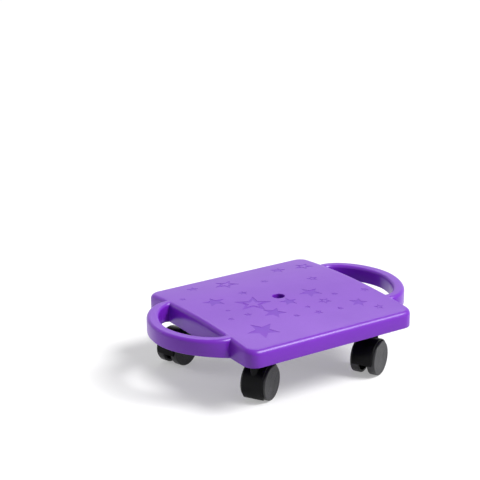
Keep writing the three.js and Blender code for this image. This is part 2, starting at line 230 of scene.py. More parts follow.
class StageSettings(bpy.types.PropertyGroup):
    """The camera's place and view, and the floor's size."""

    camera: FloatVectorProperty(
        name="Camera",
        description="Where the camera stands",
        default=(-1.1378, -1.6424, 0.8671),
        subtype="TRANSLATION",
        unit="LENGTH",
    )
    azimuth: degrees("Azimuth", "Where the camera looks", -33.136)
    pitch: degrees("Pitch", "How far the camera looks down", 18.696)
    roll: degrees("Roll", "How far the camera leans", -0.479)
    lens: FloatProperty(name="Lens", description="Focal length", default=110.62, unit="CAMERA")
    floor_half: length("Floor", "Half of the floor's width", 12.0)


SETTINGS = {
    "board_deck": DeckSizes,
    "board_handles": HandleSizes,
    "board_stars": StarSizes,
    "board_caster": CasterSizes,
    "board_finish": Finishes,
    "board_stage": StageSettings,
}


def settings(name):
    """The scene's own values of a group of settings."""
    return getattr(bpy.context.scene, name)


# Mesh helpers


def round_edges(shape, edges, radius, steps, clamped=True):
    """Rounds the given edges of a bmesh."""
    bmesh.ops.bevel(
        shape,
        geom=edges,
        offset=radius,
        offset_type="OFFSET",
        segments=steps,
        profile=0.5,
        affect="EDGES",
        clamp_overlap=clamped,
        material=-1,
    )


def edges_at(shape, height):
    """The edges that lie level at a height."""
    return [e for e in shape.edges if all(abs(v.co.z - height) < TINY for v in e.verts)]


def upright_edges(shape):
    """The edges that stand straight up."""
    return [e for e in shape.edges if (e.verts[0].co.xy - e.verts[1].co.xy).length < TINY]


def cut_by_plane(shape, place, normal, **options):
    """Divides every face that a plane crosses."""
    everything = shape.verts[:] + shape.edges[:] + shape.faces[:]
    bmesh.ops.bisect_plane(shape, geom=everything, plane_co=place, plane_no=normal, **options)


def close_ends(shape):
    """Fills each hole with one face."""
    bmesh.ops.holes_fill(shape, edges=[e for e in shape.edges if e.is_boundary])


def raise_faces(shape, height):
    """Gives a shape that is one layer of faces a thickness upwards."""
    raised = bmesh.ops.extrude_face_region(shape, geom=shape.faces[:])["geom"]
    lifted = [item for item in raised if isinstance(item, bmesh.types.BMVert)]
    bmesh.ops.translate(shape, vec=(0, 0, height), verts=lifted)


def faced_out(shape):
    """Merges what touches and turns every face outwards."""
    bmesh.ops.remove_doubles(shape, verts=shape.verts, dist=TINY)
    bmesh.ops.recalc_face_normals(shape, faces=shape.faces)
    return shape


def moved(shape, matrix):
    """Moves or turns a whole bmesh."""
    bmesh.ops.transform(shape, matrix=matrix, verts=shape.verts)
    return shape


def block(low, high):
    """A plain block between two corners."""
    shape = bmesh.new()
    low, high = Vector(low), Vector(high)
    bmesh.ops.create_cube(shape, size=1)
    bmesh.ops.scale(shape, vec=high - low, verts=shape.verts)
    bmesh.ops.translate(shape, vec=(low + high) / 2, verts=shape.verts)
    return shape


def profile_edges(shape, points, closed):
    """A line of edges through points given as (radius, height)."""
    verts = [shape.verts.new((radius, 0, height)) for radius, height in points]
    pairs = list(zip(verts, verts[1:]))
    if closed:
        pairs.append((verts[-1], verts[0]))
    return verts + [shape.edges.new(pair) for pair in pairs]


def turned(points, steps, closed=False):
    """A turned solid about Z from (radius, height) points."""
    shape = bmesh.new()
    geometry = profile_edges(shape, points, closed)
    bmesh.ops.spin(shape, geom=geometry, axis=(0, 0, 1), angle=FULL_TURN, steps=steps, use_merge=True)
    return faced_out(shape)


def swept(points, start, end, steps):
    """A solid from a closed (radius, height) section, turned about Z from one angle to another."""
    shape = bmesh.new()
    geometry = profile_edges(shape, points, closed=True)
    bmesh.ops.rotate(shape, matrix=Matrix.Rotation(start, 3, "Z"), verts=shape.verts)
    bmesh.ops.spin(shape, geom=geometry, axis=(0, 0, 1), angle=end - start, steps=steps)
    close_ends(shape)
    return faced_out(shape)


def cylinder(radius, low, high, steps=PIN_STEPS, rounding=0):
    """A plain pin about Z, with its lower edge rounded where a rounding is given."""
    shape = turned([(0, low), (radius, low), (radius, high), (0, high)], steps)
    if rounding:
        rim = [e for e in edges_at(shape, low) if all(abs(v.co.xy.length - radius) < TINY for v in e.verts)]
        round_edges(shape, rim, rounding, SMALL_ROUND_STEPS)
    return shape


def upper_corner(radius, height, rounding):
    """Profile points round an upper outer corner, from the side up to the level top."""
    points = []
    for number in range(PROFILE_ROUND_STEPS + 1):
        angle = QUARTER_TURN * number / PROFILE_ROUND_STEPS
        side = radius - rounding + rounding * math.cos(angle)
        points.append((side, height - rounding + rounding * math.sin(angle)))
    return points


def lower_corner(radius, height, rounding):
    """The same round a lower outer corner, from the level underside out to the side."""
    return [(side, 2 * height - up) for side, up in reversed(upper_corner(radius, height, rounding))]


def mesh_of(shape, name):
    """Turns a bmesh into a mesh."""
    mesh = bpy.data.meshes.new(name)
    shape.to_mesh(mesh)
    shape.free()
    return mesh


def add_object(name, data):
    """An object at the origin of the scene."""
    item = bpy.data.objects.new(name, data)
    bpy.context.collection.objects.link(item)
    return item


def together(shapes):
    """One bmesh from several that don't touch."""
    whole = bmesh.new()
    for shape in shapes:
        mesh = mesh_of(shape, "part")
        whole.from_mesh(mesh)
        bpy.data.meshes.remove(mesh)
    return whole


def combine(base, tool, operation):
    """Joins, cuts or intersects two closed bmeshes, and returns the result."""
    items = [add_object("temporary", mesh_of(shape, "temporary")) for shape in (base, tool)]
    modifier = items[0].modifiers.new("combine", "BOOLEAN")
    modifier.object = items[1]
    modifier.operation = operation
    modifier.solver = "MANIFOLD"
    evaluated = items[0].evaluated_get(bpy.context.evaluated_depsgraph_get())
    mesh = bpy.data.meshes.new_from_object(evaluated)
    result = bmesh.new()
    result.from_mesh(mesh)
    bpy.data.meshes.remove(mesh)
    for item in items:
        # This removes the object too
        bpy.data.meshes.remove(item.data)
    if not result.faces:
        raise RuntimeError(f"{operation} left nothing")
    return result


def joined(base, *tools):
    """A bmesh with others joined to it, one after another."""
    for tool in tools:
        base = combine(base, tool, "UNION")
    return base


def cut(base, *tools):
    """A bmesh with others cut out of it, one after another."""
    for tool in tools:
        base = combine(base, tool, "DIFFERENCE")
    return base


def piece(shape, name, node, body, materials, sharp):
    """Makes a bmesh the piece that stands for a node, smooth but for edges sharper than some degrees."""
    mesh = mesh_of(shape, name)
    mesh.shade_smooth()
    mesh.set_sharp_from_angle(angle=math.radians(sharp))
    for material in materials:
        mesh.materials.append(material)
    item = add_object(name, mesh)
    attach(item, body)
    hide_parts(node)


# Materials

# Where a Mix node keeps its factor, its two colours and its mixed colour
MIX_FACTOR, MIX_A, MIX_B, MIX_COLOUR = 0, 6, 7, 2


def add_node(tree, kind, values=(), **attributes):
    """A node with some of its attributes and inputs set."""
    node = tree.nodes.new(kind)
    for key, value in attributes.items():
        setattr(node, key, value)
    for key, value in dict(values).items():
        node.inputs[key].default_value = value
    return node


def new_group(name, inputs, outputs):
    """A shader group with number inputs and named outputs, and its two end nodes."""
    group = bpy.data.node_groups.new(name, "ShaderNodeTree")
    group.interface.new_socket("Vector", in_out="INPUT", socket_type="NodeSocketVector")
    for label, default in inputs.items():
        socket = group.interface.new_socket(label, in_out="INPUT", socket_type="NodeSocketFloat")
        socket.default_value = default
    for label, kind in outputs.items():
        group.interface.new_socket(label, in_out="OUTPUT", socket_type=kind)
    return group, group.nodes.new("NodeGroupInput"), group.nodes.new("NodeGroupOutput")


def grain_group():
    """Fine moulded grain: a bumped normal, and a mask of slow patches of gloss and shade."""
    if "moulded_grain" in bpy.data.node_groups:
        return bpy.data.node_groups["moulded_grain"]
    inputs = {"Grain Scale": 900, "Patch Scale": 9, "Strength": 0.1, "Distance": 0.0002}
    outputs = {"Patches": "NodeSocketFloat", "Normal": "NodeSocketVector"}
    group, start, end = new_group("moulded_grain", inputs, outputs)
    fine = add_node(group, "ShaderNodeTexNoise", {"Detail": 3, "Roughness": 0.6})
    slow = add_node(group, "ShaderNodeTexNoise", {"Detail": 4, "Roughness": 0.55})
    bump = add_node(group, "ShaderNodeBump")
    patches = add_node(group, "ShaderNodeMapRange", {"From Min": 0.3, "From Max": 0.7})
    link = group.links.new
    link(start.outputs["Vector"], fine.inputs["Vector"])
    link(start.outputs["Vector"], slow.inputs["Vector"])
    link(start.outputs["Grain Scale"], fine.inputs["Scale"])
    link(start.outputs["Patch Scale"], slow.inputs["Scale"])
    link(start.outputs["Strength"], bump.inputs["Strength"])
    link(start.outputs["Distance"], bump.inputs["Distance"])
    link(fine.outputs["Fac"], bump.inputs["Height"])
    link(slow.outputs["Fac"], patches.inputs["Value"])
    link(patches.outputs["Result"], end.inputs["Patches"])
    link(bump.outputs["Normal"], end.inputs["Normal"])
    return group


def scuff_group():
    """Faint scuffs from use: a mask of thin, broken streaks."""
    if "light_scuffs" in bpy.data.node_groups:
        return bpy.data.node_groups["light_scuffs"]
    inputs = {"Streak Scale": 60, "Amount": 0.4}
    group, start, end = new_group("light_scuffs", inputs, {"Scuffs": "NodeSocketFloat"})
    stretch = add_node(group, "ShaderNodeMapping", {"Scale": (1, 0.12, 0.4), "Rotation": (0, 0, 0.6)})
    streaks = add_node(group, "ShaderNodeTexNoise", {"Detail": 5, "Roughness": 0.7})
    thin = add_node(group, "ShaderNodeMapRange", {"From Min": 0.62, "From Max": 0.72})
    where = add_node(group, "ShaderNodeTexNoise", {"Scale": 14, "Detail": 2})
    worn = add_node(group, "ShaderNodeMapRange", {"From Min": 0.5, "From Max": 0.66})
    both = add_node(group, "ShaderNodeMath", operation="MULTIPLY")
    scaled = add_node(group, "ShaderNodeMath", operation="MULTIPLY")
    link = group.links.new
    link(start.outputs["Vector"], stretch.inputs["Vector"])
    link(start.outputs["Vector"], where.inputs["Vector"])
    link(stretch.outputs["Vector"], streaks.inputs["Vector"])
    link(start.outputs["Streak Scale"], streaks.inputs["Scale"])
    link(streaks.outputs["Fac"], thin.inputs["Value"])
    link(where.outputs["Fac"], worn.inputs["Value"])
    link(thin.outputs["Result"], both.inputs[0])
    link(worn.outputs["Result"], both.inputs[1])
    link(both.outputs["Value"], scaled.inputs[0])
    link(start.outputs["Amount"], scaled.inputs[1])
    link(scaled.outputs["Value"], end.inputs["Scuffs"])
    return group


def new_material(name):
    """A material with its node tree and its shader."""
    material = bpy.data.materials.new(name)
    material.use_nodes = True
    return material, material.node_tree, material.node_tree.nodes["Principled BSDF"]


def grained_material(name, shades, roughness, grain, scuffs, specular=0.5, metallic=0):
    """A plastic or steel with grain, slow patches of shade and gloss, and light scuffs."""
    if name in bpy.data.materials:
        return bpy.data.materials[name]
    material, tree, shader = new_material(name)
    shader.inputs["Specular IOR Level"].default_value = specular
    shader.inputs["Metallic"].default_value = metallic
    coordinates = add_node(tree, "ShaderNodeTexCoord")
    surface = add_node(tree, "ShaderNodeGroup", grain, node_tree=grain_group())
    marks = add_node(tree, "ShaderNodeGroup", scuffs, node_tree=scuff_group())
    main, deep = shades
    tint = add_node(tree, "ShaderNodeMix", {MIX_A: (*main, 1), MIX_B: (*deep, 1)}, data_type="RGBA")
    gloss = add_node(tree, "ShaderNodeMapRange", {"To Min": roughness[0], "To Max": roughness[1]})
    worn = add_node(tree, "ShaderNodeMath", operation="ADD")
    link = tree.links.new
    link(coordinates.outputs["Object"], surface.inputs["Vector"])
    link(coordinates.outputs["Object"], marks.inputs["Vector"])
    link(surface.outputs["Patches"], tint.inputs[MIX_FACTOR])
    link(surface.outputs["Patches"], gloss.inputs["Value"])
    link(gloss.outputs["Result"], worn.inputs[0])
    link(marks.outputs["Scuffs"], worn.inputs[1])
    link(tint.outputs[MIX_COLOUR], shader.inputs["Base Color"])
    link(worn.outputs["Value"], shader.inputs["Roughness"])
    link(surface.outputs["Normal"], shader.inputs["Normal"])
    return material


def darker(shade, part):
    """A colour at a part of its strength."""
    return [channel * part for channel in shade]


# Deck

# How far a cutter runs past what it cuts
OVERRUN = 0.005
# How far a handle's root lies under the deck's top, so that it comes out where the edge rounds off
ROOT_SINK = 0.0001
# Faces of a handle that meet at more than this angle, in radians, form an edge to be rounded
EDGE_ANGLE = 1
STAR_POINTS = 5
# A face whose normal rises more than this counts as level
LEVEL_NORMAL = 0.9

# Each star: its place as shares of the deck's half length and width, its radius as a share of the half
# width, its turn in degrees, and whether it is an outline
STARS = (
    (-0.62, -0.64, 0.173, 12, False),
    (-0.34, -0.04, 0.201, 40, True),
    (-0.29, -0.35, 0.129, 25, False),
    (0.00, -0.19, 0.097, 60, False),
    (0.33, -0.10, 0.129, 8, False),
    (0.52, -0.27, 0.040, 30, False),
    (0.32, -0.37, 0.076, 15, True),
    (0.08, -0.41, 0.033, 50, False),
    (0.10, -0.57, 0.049, 5, False),
    (-0.14, -0.53, 0.038, 33, False),
    (0.35, -0.60, 0.037, 20, True),
    (-0.54, -0.25, 0.045, 44, False),
    (-0.74, -0.25, 0.036, 10, False),
    (-0.65, -0.05, 0.030, 28, False),
    (-0.25, 0.29, 0.055, 55, False),
    (0.78, 0.66, 0.112, 18, True),
    (0.48, 0.72, 0.088, 38, False),
    (-0.63, 0.24, 0.126, 63, False),
    (-0.23, 0.65, 0.140, 22, True),
    (-0.58, 0.75, 0.068, 48, False),
    (0.60, -0.57, 0.099, 35, False),
    (0.86, -0.33, 0.050, 14, False),
    (0.72, -0.76, 0.056, 52, True),
    (0.14, 0.47, 0.045, 26, False),
    (0.60, 0.24, 0.065, 58, True),
    (-0.84, 0.52, 0.042, 3, False),
)


def deck_floor():
    """The height of the walls' lower edge."""
    return DECK_LOW.z + settings("board_deck").boss_drop


def rim_height():
    """The height of the walls' upper edge, where the top's arch starts."""
    return deck_floor() + settings("board_deck").edge


def halves(inset=0):
    """Half of the deck's length and width without its handles, less an inset."""
    return settings("board_deck").half_length - inset, DECK_HIGH.y - inset


def top_at(x, y):
    """The top's height at a place: an arch from one long edge to the other, with a slight crown."""
    sizes = settings("board_deck")
    half_x, half_y = halves()
    u, v = min(abs(x) / half_x, 1), min(abs(y) / half_y, 1)
    return rim_height() + (sizes.arch + sizes.crown * (1 - u * u)) * (1 - v * v)


def stem_place(corner):
    """The X and Y of a corner's stem."""
    low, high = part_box(f"{corner}_stem")
    return (low + high).xy / 2


def at_stem(shape, corner):
    """Moves a shape from the middle of the board to a corner's stem."""
    return moved(shape, Matrix.Translation((*stem_place(corner), 0)))


def moulded_block(inset, low, high, corner, top_round=0, low_round=0):
    """A block of the deck's outline, with round upright corners and rounded edges."""
    half_x, half_y = halves(inset)
    shape = block((-half_x, -half_y, low), (half_x, half_y, high))
    round_edges(shape, upright_edges(shape), corner, CORNER_STEPS)
    if top_round:
        round_edges(shape, edges_at(shape, high), top_round, ROUND_STEPS)
    if low_round:
        round_edges(shape, edges_at(shape, low), low_round, EDGE_BREAK_STEPS)
    return shape


def take_arch(shape, grid, start, end):
    """Cuts a shape into a grid and lifts it to the arch, from nothing at one height to all at another."""
    for half, normal in zip(halves(), (Vector((1, 0, 0)), Vector((0, 1, 0)))):
        count = round(2 * half / grid)
        for number in range(1, count):
            cut_by_plane(shape, normal * half * (2 * number / count - 1), normal)
    for vert in shape.verts:
        part = min(max((vert.co.z - start) / (end - start), 0), 1)
        vert.co.z += part * (top_at(vert.co.x, vert.co.y) - rim_height())
    return shape


def deck_block():
    """The deck's outer form, solid."""
    sizes = settings("board_deck")
    low, high = deck_floor(), rim_height()
    shape = moulded_block(0, low, high, sizes.corner, sizes.top_round, sizes.low_round)
    return take_arch(shape, sizes.grid, low + sizes.low_round, high - sizes.top_round)


def deck_hollow():
    """The space inside the walls and under the skin, on a grid twice as coarse."""
    sizes = settings("board_deck")
    low, high = deck_floor() - OVERRUN, rim_height() - sizes.skin
    shape = moulded_block(sizes.wall, low, high, sizes.corner - sizes.wall, sizes.top_round - sizes.wall)
    return take_arch(shape, 2 * sizes.grid, low + OVERRUN, high - sizes.top_round)


def rib_places(stem, half):
    """Rib places along one axis: through the bosses, evenly between them, and in a wide outer bay."""
    sizes = settings("board_deck")
    bays = math.ceil(2 * stem / sizes.widest_bay)
    bay = 2 * stem / bays
    places = [bay * number - stem for number in range(bays + 1)]
    wall = half - sizes.wall
    if wall - stem > bay:
        middle = (wall + stem) / 2
        places += [-middle, middle]
    return sorted(places)


def bays_between(places, half):
    """The spaces between ribs, and between the outer ribs and the walls."""
    half_rib = settings("board_deck").rib / 2
    edges = [-half - half_rib, *places, half + half_rib]
    return [(low + half_rib, high - half_rib) for low, high in zip(edges, edges[1:])]


def pocket_cells():
    """A block for each space between the ribs."""
    sizes = settings("board_deck")
    stems = (abs(place) for place in stem_place(MEASURED))
    x_bays, y_bays = (bays_between(rib_places(stem, half), half) for stem, half in zip(stems, halves()))
    cells = []
    for x_low, x_high in x_bays:
        for y_low, y_high in y_bays:
            cell = block((x_low, y_low, deck_floor() - OVERRUN), (x_high, y_high, CAD_HIGH.z + OVERRUN))
            round_edges(cell, upright_edges(cell), sizes.pocket_round, SMALL_ROUND_STEPS)
            cells.append(cell)
    return together(cells)


def stem_bosses():
    """The four bosses that take the sockets, up into the skin."""
    sizes = settings("board_deck")
    bosses = []
    for corner in CORNERS:
        top = top_at(*stem_place(corner)) - sizes.skin / 2
        bosses.append(at_stem(cylinder(sizes.boss, DECK_LOW.z, top, rounding=sizes.low_round), corner))
    return together(bosses)


def pockets():
    """All that is open under the top: the cells between the ribs, and one flat recess below them."""
    sizes = settings("board_deck")
    recess = deck_floor() + sizes.rib_recess
    tube = cylinder(sizes.hole + sizes.tube, recess - OVERRUN, CAD_HIGH.z)
    cells = cut(combine(pocket_cells(), deck_hollow(), "INTERSECT"), tube)
    slab = moulded_block(sizes.wall, deck_floor() - OVERRUN, recess, sizes.corner - sizes.wall)
    return cut(joined(cells, slab), stem_bosses())


def mouth_points(radius, rounding, low, top):
    """A bore's profile from the axis, with its upper mouth rounded out to a surface."""
    points = [(0, low), (radius, low)]
    for number in range(ROUND_STEPS + 1):
        angle = QUARTER_TURN * number / ROUND_STEPS
        out = radius + rounding * (1 - math.cos(angle))
        points.append((out, top - rounding * (1 - math.sin(angle))))
    return points + [(radius + rounding, top + OVERRUN), (0, top + OVERRUN)]


def bores():
    """The hole in the middle and the bores that take the sockets."""
    sizes = settings("board_deck")
    low, high = DECK_LOW.z - OVERRUN, SOCKET_HIGH.z + settings("board_caster").running
    hole = turned(mouth_points(sizes.hole, sizes.hole_round, low, top_at(0, 0)), HOLE_STEPS)
    return together([hole, *(at_stem(cylinder(sizes.bore, low, high), corner) for corner in CORNERS)])


def loop(inset, low, high, start):
    """A handle's loop beyond a given X, with its sides drawn in by an inset."""
    sizes = settings("board_handles")
    base = halves()[0]
    reach = CAD_HIGH.x - base
    outer = (reach - inset, sizes.half_span - inset, sizes.power)
    inner = (reach - sizes.tip + inset, sizes.half_span - sizes.root + inset, sizes.gap_power)
    shape = bmesh.new()
    for out, span, power in (outer, inner):
        ring = bmesh.ops.create_circle(shape, segments=LOOP_STEPS, radius=1)["verts"]
        for vert in ring:
            vert.co.x = base + math.copysign(out * abs(vert.co.x) ** (2 / power), vert.co.x)
            vert.co.y = math.copysign(span * abs(vert.co.y) ** (2 / power), vert.co.y)
            vert.co.z = low
    bmesh.ops.bridge_loops(shape, edges=shape.edges[:])
    raise_faces(shape, high - low)
    cut_by_plane(shape, (start, 0, 0), (1, 0, 0), clear_inner=True)
    close_ends(shape)
    return faced_out(shape)


def side_edges(shape, height, start):
    """The edges along a loop's sides at a height, without those of its cut ends."""
    return [
        e
        for e in edges_at(shape, height)
        if any(v.co.x > start + TINY for v in e.verts) and e.calc_face_angle(0) > EDGE_ANGLE
    ]


def both_ends(shape):
    """A shape at the +X end together with its copy at the other end."""
    return together([shape, moved(shape.copy(), Matrix.Rotation(HALF_TURN, 4, "Z"))])


def handle_heights():
    """The lower and upper edge of a handle at its tip."""
    sizes = settings("board_handles")
    low = deck_floor() + sizes.lift
    return low, low + sizes.height


def handles():
    """Both loops. Their edges arch to the deck's lower edge and to its top at the roots."""
    sizes = settings("board_handles")
    low, high = handle_heights()
    base = halves()[0]
    # The roots run into the deck past its rounded edge
    start = base - 2 * settings("board_deck").top_round
    shape = loop(0, low, high, start)
    round_edges(shape, side_edges(shape, high, start), sizes.top_round, ROUND_STEPS, clamped=False)
    round_edges(shape, side_edges(shape, low, start), sizes.low_round, SMALL_ROUND_STEPS, clamped=False)
    for vert in shape.verts:
        out = min(max((vert.co.x - base) / sizes.arch, 0), 1)
        if vert.co.z < (low + high) / 2:
            vert.co.z -= sizes.lift * (1 - out) ** 2
        else:
            vert.co.z += (top_at(base, vert.co.y) - ROOT_SINK - high) * (1 - out) ** 2
    return both_ends(shape)


def handle_channels():
    """The hollow under each handle, open below."""
    sizes = settings("board_handles")
    low, high = deck_floor() - OVERRUN, handle_heights()[1] - sizes.skin
    start = halves()[0]
    shape = loop(sizes.wall, low, high, start)
    round_edges(shape, side_edges(shape, high, start), sizes.low_round, SMALL_ROUND_STEPS, clamped=False)
    return both_ends(shape)


def star_cutter(x, y, radius, turn, outlined):
    """A star-shaped cutter that reaches down to an even depth under the arched top."""
    sizes = settings("board_stars")
    shape = bmesh.new()
    bmesh.ops.create_circle(shape, cap_ends=True, radius=radius, segments=2 * STAR_POINTS)
    for vert in shape.verts[:][1::2]:
        vert.co *= sizes.waist
    if outlined:
        middle = shape.faces[:]
        width = sizes.line * radius
        bmesh.ops.inset_region(shape, faces=middle, thickness=width, use_boundary=True, use_even_offset=True)
        bmesh.ops.delete(shape, geom=middle, context="FACES_ONLY")
    else:
        bmesh.ops.poke(shape, faces=shape.faces[:])
    moved(shape, Matrix.Translation((x, y, 0)) @ Matrix.Rotation(math.radians(turn), 4, "Z"))
    for vert in shape.verts:
        vert.co.z = top_at(vert.co.x, vert.co.y) - sizes.depth
    raise_faces(shape, OVERRUN)
    return faced_out(shape)


def star_cutters():
    """All the stars' cutters, in their places."""
    half_x, half_y = halves()
    return together(
        star_cutter(x * half_x, y * half_y, radius * half_y, turn, outlined)
        for x, y, radius, turn, outlined in STARS
    )


def colour_stars(shape):
    """Gives the stars' floors the second material: level faces about as deep as the stars are sunk."""
    sizes = settings("board_stars")
    half_x, half_y = halves(sizes.margin)
    for face in shape.faces:
        x, y, z = face.calc_center_median()
        inside = abs(x) < half_x and abs(y) < half_y
        sunk = sizes.depth / 2 < top_at(x, y) - z < 2 * sizes.depth
        face.material_index = int(inside and sunk and face.normal.z > LEVEL_NORMAL)


def deck_plastic():
    """A softly shining plastic, a little uneven in its shade."""
    colours = settings("board_finish")
    return grained_material(
        "deck_finish",
        shades=(colours.deck, colours.deck_deep),
        # The renderer's denoiser changes its way at a roughness of about 0.27, and a range that crosses
        # it shows thin lines
        roughness=(0.28, 0.33),
        grain={"Grain Scale": 1100, "Patch Scale": 11, "Strength": 0.12, "Distance": 0.0002},
        scuffs={"Streak Scale": 90, "Amount": 0.015},
        specular=0.4,
    )


def star_plastic():
    """The same plastic in the stars, with less grain and gloss and a deeper colour."""
    colours = settings("board_finish")
    return grained_material(
        "star_finish",
        shades=(colours.star, colours.deck_deep),
        roughness=(0.34, 0.4),
        grain={"Grain Scale": 700, "Patch Scale": 14, "Strength": 0.04, "Distance": 0.0001},
        scuffs={"Streak Scale": 90, "Amount": 0.015},
        specular=0.28,
    )


class BOARD_OT_deck(bpy.types.Operator):
    """Model the moulded deck with its handles, ribs and sunk stars"""

    bl_idname = "board.deck"
    bl_label = "Deck"

    def execute(self, context):
        deck = joined(deck_block(), handles(), stem_bosses())
        deck = cut(deck, pockets(), handle_channels(), bores(), star_cutters())
        deck.normal_update()
        colour_stars(deck)
        piece(
            deck,
            name="moulded_deck",
            node="deck",
            body="board",
            materials=[deck_plastic(), star_plastic()],
            sharp=35,
        )
        return {"FINISHED"}


# Casters

# Where a hood's cover starts, low on the stem's side, and where it ends, behind the wheels: angles about
# the axle
HOOD_START = math.radians(-222)
HOOD_END = math.radians(8)
# The radii of the turned rings on a wheel's face, as shares of the face's radius
RING_SHARES = (0.84, 0.66, 0.48, 0.30)


def caster_matrix(corner):
    """From a caster's own frame, on the floor under its stem with +X to its axle, to the board's."""
    stem = stem_place(corner)
    axle = Vector(JOINTS[f"{corner}_roll_left"]["pos_m"]).xy
    turn = math.atan2(axle.y - stem.y, axle.x - stem.x)
    return Matrix.Translation((*stem, 0)) @ Matrix.Rotation(turn, 4, "Z")


def axle_place():
    """The axle in a caster's own frame: how far out from the stem, and how high."""
    axle = Vector(JOINTS[f"{MEASURED}_roll_left"]["pos_m"])
    return (axle.xy - stem_place(MEASURED)).length, axle.z


def on_axle(shape):
    """Turns a shape about Z into one about the axle."""
    out, height = axle_place()
    return moved(shape, Matrix.Translation((out, 0, height)) @ Matrix.Rotation(-QUARTER_TURN, 4, "X"))


def ring_room(ring):
    """The room that a ring takes, with the running gap: its radius, its lower and its upper end."""
    gap = settings("board_caster").running
    low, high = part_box(f"{MEASURED}_{ring}")
    return (high.x - low.x) / 2 + gap, low.z - gap, high.z + gap


def hood_cover():
    """The round cover over both wheels, with the web between them."""
    sizes = settings("board_caster")
    inner = WHEEL_RADIUS + sizes.hood_gap
    outer = inner + sizes.hood_wall
    half = sizes.hood_half
    section = [(inner, half), (inner, -half)]
    section += lower_corner(outer, -half, sizes.hood_round)
    section += upper_corner(outer, half, sizes.hood_round)
    cover = swept(section, HOOD_START, HOOD_END, HOOD_STEPS)
    # Only the two end faces have more than four corners
    ends = [e for e in cover.edges if any(len(face.verts) > 4 for face in e.link_faces)]
    round_edges(cover, ends, sizes.hood_round / 2, EDGE_BREAK_STEPS)
    # The web runs from within the hub to within the cover's wall
    start, end = sizes.hub / 2, inner + sizes.hood_wall / 2
    section = [(start, -sizes.web), (end, -sizes.web), (end, sizes.web), (start, sizes.web)]
    return joined(cover, swept(section, HOOD_START, HOOD_END, HOOD_STEPS))


def neck_floor():
    """The height where the neck's foot starts, over the axle."""
    sizes = settings("board_caster")
    return axle_place()[1] + sizes.axle - sizes.running


def hood_neck():
    """The neck on the stem side, on its thicker foot."""
    sizes = settings("board_caster")
    low = neck_floor()
    shoulder = low + sizes.foot_height
    slope_top = shoulder + sizes.foot - sizes.neck
    points = [(0, low), (sizes.foot, low), (sizes.foot, shoulder), (sizes.neck, slope_top)]
    points += [*upper_corner(sizes.neck, HOOD_TOP, sizes.hood_round), (0, HOOD_TOP)]
    return turned(points, PIN_STEPS)


def stem_bore():
    """The bore that takes the stem, with a seat for its snap ring."""
    sizes = settings("board_caster")
    low, high = neck_floor() + sizes.bore_floor, HOOD_TOP + OVERRUN
    seat, seat_low, seat_high = ring_room("snap_ring")
    points = [(0, low), (sizes.bore, low), (sizes.bore, seat_low), (seat, seat_low)]
    points += [(seat, seat_high), (sizes.bore, seat_high), (sizes.bore, high), (0, high)]
    return turned(points, BORE_STEPS)


def hood_shape():
    """A whole hood: its cover, hub and neck, with the bores for the axle and the stem."""
    sizes = settings("board_caster")
    reach = sizes.wheel_gap - sizes.running
    hub = cylinder(sizes.hub, -reach, reach, HUB_STEPS)
    axle_bore = cylinder(sizes.axle + sizes.running, -reach - OVERRUN, reach + OVERRUN, BORE_STEPS)
    hood = joined(on_axle(hood_cover()), on_axle(hub), hood_neck())
    return cut(hood, stem_bore(), on_axle(axle_bore))


def face_profile(face):
    """The wheel's outer face, from its rim to its middle: a sunk disc with fine turned rings."""
    sizes = settings("board_caster")
    half_ring = sizes.ring_width / 2
    land = WHEEL_RADIUS - sizes.tread_round - sizes.wheel_rim / 2
    floor = face - sizes.ring_depth
    points = [(land, face), (land - half_ring, floor)]
    for middle in (land * ring_share for ring_share in RING_SHARES):
        points += [(middle + half_ring, floor), (middle, floor - sizes.ring_depth)]
        points += [(middle - half_ring, floor)]
    return points + [(0, floor)]


def wheel_shape(side):
    """A wheel on its own side of the caster, cup-shaped inside, with a hub."""
    sizes = settings("board_caster")
    inner, outer = sizes.wheel_gap, sizes.wheel_gap + sizes.wheel_width
    bore = sizes.axle + sizes.running
    bore_end = outer - sizes.axle_cover
    back = outer - sizes.wheel_face
    rim = WHEEL_RADIUS - sizes.wheel_rim
    points = [(0, bore_end), (bore, bore_end), (bore, inner), (sizes.wheel_hub, inner)]
    points += [(sizes.wheel_hub, back), (rim, back), (rim, inner)]
    points += lower_corner(WHEEL_RADIUS, inner, sizes.tread_round)
    points += upper_corner(WHEEL_RADIUS, outer, sizes.tread_round)
    wheel = turned(points + face_profile(outer), WHEEL_STEPS)
    if side == "right":
        moved(wheel, Matrix.Rotation(HALF_TURN, 4, "X"))
    return on_axle(wheel)


def grooved(ring):
    """The groove in a stem's profile for a ring."""
    sizes = settings("board_caster")
    _, low, high = ring_room(ring)
    inner = sizes.stem - sizes.stem_round
    return [(sizes.stem, low), (inner, low), (inner, high), (sizes.stem, high)]


def stem_shape():
    """A stem: a pin with a collar under the socket and a groove for each ring."""
    sizes = settings("board_caster")
    stem, chamfer = sizes.stem, sizes.stem_round
    low, high = STEM_LOW.z, STEM_HIGH.z
    collar_top = SOCKET_LOW.z - sizes.running
    collar_low = collar_top - sizes.collar_height
    points = [(0, low), (stem - chamfer, low), (stem, low + chamfer)]
    points += grooved("snap_ring")
    points += [(stem, collar_low), *lower_corner(sizes.collar, collar_low, chamfer / 2)]
    points += [*upper_corner(sizes.collar, collar_top, chamfer / 2), (stem, collar_top)]
    points += grooved("grip_ring")
    points += [(stem, high - chamfer), (stem - chamfer, high), (0, high)]
    return turned(points, PIN_STEPS)


